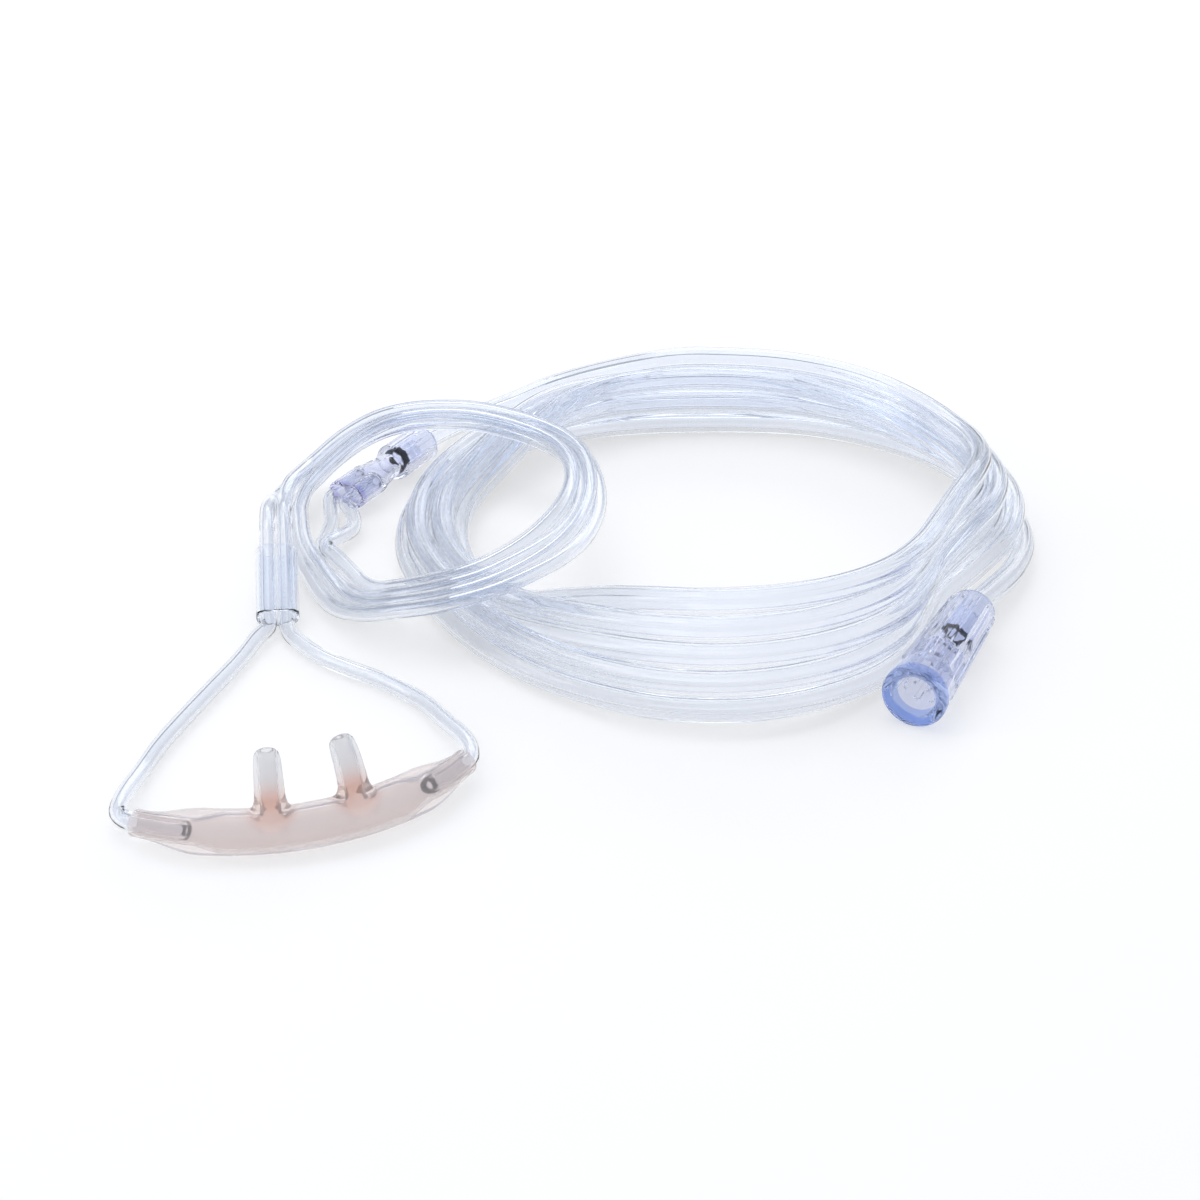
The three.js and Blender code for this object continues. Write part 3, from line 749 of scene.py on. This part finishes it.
nasal = hollowed(
    nasal_solid("nasal_moulding", body_outer, prong_outer, 0, 10),
    nasal_solid("nasal_cavity", body_inner, prong_inner, 1, 5), 2)
PINK_LOOK = pink_vinyl(
    [prong_point(side, 4.6) for side in (-1, 1)],
    [prong_point(side, PRONG_LENGTH) for side in (-1, 1)],
)

y_piece = smoothed_copy("y_moulding", "y_connector", Y_VOXEL, 6)
Y_LOOK = blue_plastic(
    "blue_tinted_y", (0.84, 0.86, 0.97), (0.6, 0.58, 0.86),
    placed(y_point(0, 0)), placed(y_point(0, 1)), 1.4)


def slot_ring(centre, pitch, radius, sides):
    """A ring round both headset tubes: two half circles joined by straights."""
    up = SLIDER_AXIS.cross(SLIDER_ACROSS)
    ring = []
    for j in range(sides):
        angle = 2 * math.pi * (j + 0.5) / sides
        shift = pitch / 2 if math.cos(angle) > 0 else -pitch / 2
        across = SLIDER_ACROSS * (shift + radius * math.cos(angle))
        ring.append(placed(centre + across + up * radius * math.sin(angle)))
    return ring


SLIDER_RIM = 0.25
SLIDER_RINGS = 12
SLIDER_SIDES = 56
SLIDER_BORE_CHAMFER = 0.1


def add_slider():
    """The sleeve, with softly rounded rims."""
    inner = HEADSET_DIAMETER / 2 + FIT_GAP
    outer = inner + SLIDER_WALL
    rim = SLIDER_RIM
    stations = [(0, outer - rim), (rim * 0.4, outer - rim * 0.3), (rim * 1.2, outer)]
    for i in range(1, SLIDER_RINGS):
        stations.append((SLIDER_LENGTH * i / SLIDER_RINGS, outer))
    stations += [(SLIDER_LENGTH - d, r) for d, r in reversed(stations[:3])]
    wide = inner + SLIDER_BORE_CHAMFER
    stations += [(SLIDER_LENGTH, wide), (SLIDER_LENGTH - 2 * SLIDER_BORE_CHAMFER, inner)]
    for i in range(SLIDER_RINGS - 1, 0, -1):
        stations.append((SLIDER_LENGTH * i / SLIDER_RINGS, inner))
    stations += [(2 * SLIDER_BORE_CHAMFER, inner), (0, wide)]
    rings = [
        slot_ring(SLIDER_LOW_END + SLIDER_AXIS * d, SLIDER_TUBE_PITCH, r, SLIDER_SIDES)
        for d, r in stations
    ]
    return closed_skin("slider_sleeve", rings)


slider_piece = add_slider()

PORT_RIM_RADIUS = 6.6
PORT_RIM_LENGTH = 3.2
PORT_RIM_ROUND = 1.1
PORT_RIM_BACK = 0.9
PORT_MOUTH_RADIUS = 6.2
PORT_TAIL_RADIUS = 4.9
PORT_BORE_RADIUS = 4.2
PORT_BORE_DEPTH = 17
PORT_PASSAGE_RADIUS = 1.9
PORT_RIBS = 10
PORT_RIB_HEIGHT = 0.45
PORT_RIB_WIDTH = 0.2
PORT_RIB_FLANK = 0.045
PORT_RIB_START = 8.2
PORT_RIB_FADE = 0.4
PORT_TAIL_ROUND = 0.7
PORT_TAIL_DROP = 0.5
PORT_TEETH = 8
PORT_TOOTH_HEIGHT = 0.8
PORT_TOOTH_LENGTH = 7
PORT_TOOTH_WIDTH = 1.0
PORT_TOOTH_FLANK = 0.05
PORT_TOOTH_FADE = 0.3
PORT_BORE_FLARE = 0.9
PORT_BORE_FLOOR = 0.25
PORT_SEAT_FADE = 0.2
PORT_SIDES = 160


def bump_shape(angle, count, width, fade):
    """1 on evenly spaced ridges round the axis, 0 between them, with soft flanks."""
    spacing = 2 * math.pi / count
    offset = abs((angle + spacing / 2) % spacing - spacing / 2)
    return 1 - smooth_step(width / 2 - fade, width / 2 + fade, offset)


def port_outer(distance, angle):
    """Outside radius of the end connector at a distance from its mouth."""
    if distance < PORT_RIM_LENGTH:
        edge = min(distance, PORT_RIM_ROUND)
        rest = max(PORT_RIM_ROUND ** 2 - (PORT_RIM_ROUND - edge) ** 2, 0)
        drop = PORT_RIM_ROUND - math.sqrt(rest)
        back = smooth_step(PORT_RIM_LENGTH - PORT_RIM_BACK, PORT_RIM_LENGTH, distance)
        return PORT_RIM_RADIUS - drop - (PORT_RIM_RADIUS - PORT_MOUTH_RADIUS) * back
    taper = (distance - PORT_RIM_LENGTH) / (PORT_LENGTH - PORT_RIM_LENGTH)
    radius = PORT_MOUTH_RADIUS + (PORT_TAIL_RADIUS - PORT_MOUTH_RADIUS) * taper
    end = smooth_step(PORT_LENGTH - PORT_TAIL_ROUND, PORT_LENGTH, distance)
    ridge = smooth_step(PORT_RIB_START - PORT_RIB_FADE, PORT_RIB_START + PORT_RIB_FADE, distance)
    ridge *= 1 - smooth_step(PORT_LENGTH - 2.3, PORT_LENGTH - 1.6, distance)
    ridge *= bump_shape(angle, PORT_RIBS, PORT_RIB_WIDTH, PORT_RIB_FLANK)
    return radius - PORT_TAIL_DROP * end + PORT_RIB_HEIGHT * ridge


def port_inner(distance, angle):
    """Radius of the toothed bore, the narrow passage and the supply tube's seat."""
    seat = PORT_LENGTH - PORT_TUBE_INSERTION
    supply_bore_radius = SUPPLY_DIAMETER / 2 + FIT_GAP
    if distance < PORT_BORE_DEPTH:
        lead_in = PORT_BORE_FLARE * (1 - smooth_step(0, PORT_RIM_ROUND, distance))
        start = PORT_BORE_DEPTH - PORT_TOOTH_LENGTH
        tooth = smooth_step(start - PORT_TOOTH_FADE, start + PORT_TOOTH_FADE, distance)
        tooth *= bump_shape(angle, PORT_TEETH, PORT_TOOTH_WIDTH / PORT_BORE_RADIUS, PORT_TOOTH_FLANK)
        floor = smooth_step(PORT_BORE_DEPTH - PORT_BORE_FLOOR, PORT_BORE_DEPTH, distance)
        radius = PORT_BORE_RADIUS + lead_in - PORT_TOOTH_HEIGHT * tooth
        return radius + (PORT_PASSAGE_RADIUS - radius) * floor
    open_up = smooth_step(seat - PORT_SEAT_FADE, seat + PORT_SEAT_FADE, distance)
    return PORT_PASSAGE_RADIUS + (supply_bore_radius - PORT_PASSAGE_RADIUS) * open_up


def port_stations():
    """Where the outside gets its rings, closer together at the rim and the ribs' ends."""
    fine = [0, 0.12, 0.3, 0.55, 0.8, 1.1, 1.6, 2.2, 2.5, 2.7, 2.9, 3.05, 3.2]
    fine += [4, 5.5, 7, 7.8, 8, 8.2, 8.4, 8.6]
    step = 0.8
    while fine[-1] + step < PORT_LENGTH - 2.6:
        fine.append(fine[-1] + step)
    return fine + [PORT_LENGTH - d for d in (2.3, 2.1, 1.95, 1.8, 1.6, 1.1, 0.7, 0.5, 0.35, 0.15, 0)]


def bore_stations():
    """Where the inside gets its rings, closer together at its steps."""
    seat = PORT_LENGTH - PORT_TUBE_INSERTION
    tooth = PORT_BORE_DEPTH - PORT_TOOTH_LENGTH
    fine = [0, 0.2, 0.45, 0.75, 1.1, 3, 5, 7, 9, tooth - 0.3, tooth - 0.1, tooth + 0.1, tooth + 0.3]
    fine += [11.5, 13, 14.5, 16, 16.7, 16.78, 16.85, 16.92, 17, 18.5, 20, seat - 0.2, seat - 0.05]
    return fine + [seat + 0.05, seat + 0.2, 25, 28, 31, 34, 36.5, PORT_LENGTH]


def add_port():
    axis = (Vector(port_point(1)) - Vector(port_point(0))).normalized()
    across = axis.cross(Vector((0, 0, 1))).normalized()
    up = across.cross(axis)

    def ring(distance, radius):
        points = []
        for j in range(PORT_SIDES):
            angle = 2 * math.pi * j / PORT_SIDES
            reach = (across * math.cos(angle) + up * math.sin(angle)) * radius(distance, angle)
            points.append(placed(Vector(port_point(distance)) + reach))
        return points

    outside = [ring(d, port_outer) for d in port_stations()]
    inside = [ring(d, port_inner) for d in reversed(bore_stations())]
    return closed_skin("end_connector_barrel", outside + inside)


port_piece = add_port()
PORT_LOOK = blue_plastic(
    "blue_tinted_port", (0.8, 0.83, 0.97), (0.3, 0.42, 0.85),
    placed(port_point(0)), placed(port_point(1)), PORT_RIM_LENGTH)

# Which body each piece rides on, its material and what it replaces


def dress(piece, body, look, nodes):
    piece.data.materials.clear()
    piece.data.materials.append(look)
    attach(piece, body)
    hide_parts(*nodes)


dress(nasal, "tubing", PINK_LOOK, ["nasal_piece"])
dress(slider_piece, "sleeve", SLEEVE_LOOK, ["slider"])
dress(y_piece, "tubing", Y_LOOK, ["y_connector"])
dress(port_piece, "tubing", PORT_LOOK, ["end_connector"])
dress(left_tube, "tubing", HEADSET_LOOK,
      ["headset_tube_left", "headset_tail_left", "headset_coil"])
dress(right_tube, "tubing", HEADSET_LOOK,
      ["headset_tube_right", "headset_tail_right"])
dress(supply_tube, "tubing", SUPPLY_LOOK,
      ["supply_lead", "supply_coil", "supply_tail"])

# Floor, light and world


def add_floor():
    size = 3.0
    height = -0.0002
    corners = [(-size, -size), (size, -size), (size, size), (-size, size)]
    floor = new_piece("floor", [Vector((*corner, height)) for corner in corners], [(0, 1, 2, 3)])
    nodes = Nodes("floor_paper")
    nodes.shader.inputs["Roughness"].default_value = 0.7
    nodes.shader.inputs["Emission Color"].default_value = (1, 1, 1, 1)
    nodes.shader.inputs["Emission Strength"].default_value = 0.6
    colour = nodes.mixed(nodes.noise(30), (0.5, 0.5, 0.505), (0.52, 0.52, 0.52))
    nodes.join(colour, nodes.shader.inputs["Base Color"])
    floor.data.materials.append(nodes.material)


def add_area_light(name, place, size, power, colour):
    data = bpy.data.lights.new(name, "AREA")
    data.shape = "RECTANGLE"
    data.size, data.size_y = size
    data.energy = power
    data.color = colour
    light = bpy.data.objects.new(name, data)
    bpy.context.scene.collection.objects.link(light)
    light.location = placed(place)
    looking = placed((0, 0, 0)) - light.location
    light.rotation_euler = looking.to_track_quat("-Z", "Y").to_euler()


def add_world():
    world = bpy.data.worlds.new("studio")
    bpy.context.scene.world = world
    world.use_nodes = True
    background = world.node_tree.nodes["Background"]
    background.inputs["Color"].default_value = (0.72, 0.78, 0.9, 1)
    background.inputs["Strength"].default_value = 0.55


add_floor()
add_area_light("overhead", (-150, 200, 900), (0.7, 0.7), 2.2, (1, 1, 1))
add_area_light("left", (-700, -100, 500), (0.25, 0.9), 1.5, (1, 1, 1))
add_area_light("behind", (200, 800, 450), (1.0, 0.3), 1.5, (1, 1, 1))
add_world()
scene = bpy.context.scene
scene.view_settings.view_transform = "Standard"
scene.cycles.max_bounces = 24
scene.cycles.transmission_bounces = 24
scene.cycles.glossy_bounces = 12
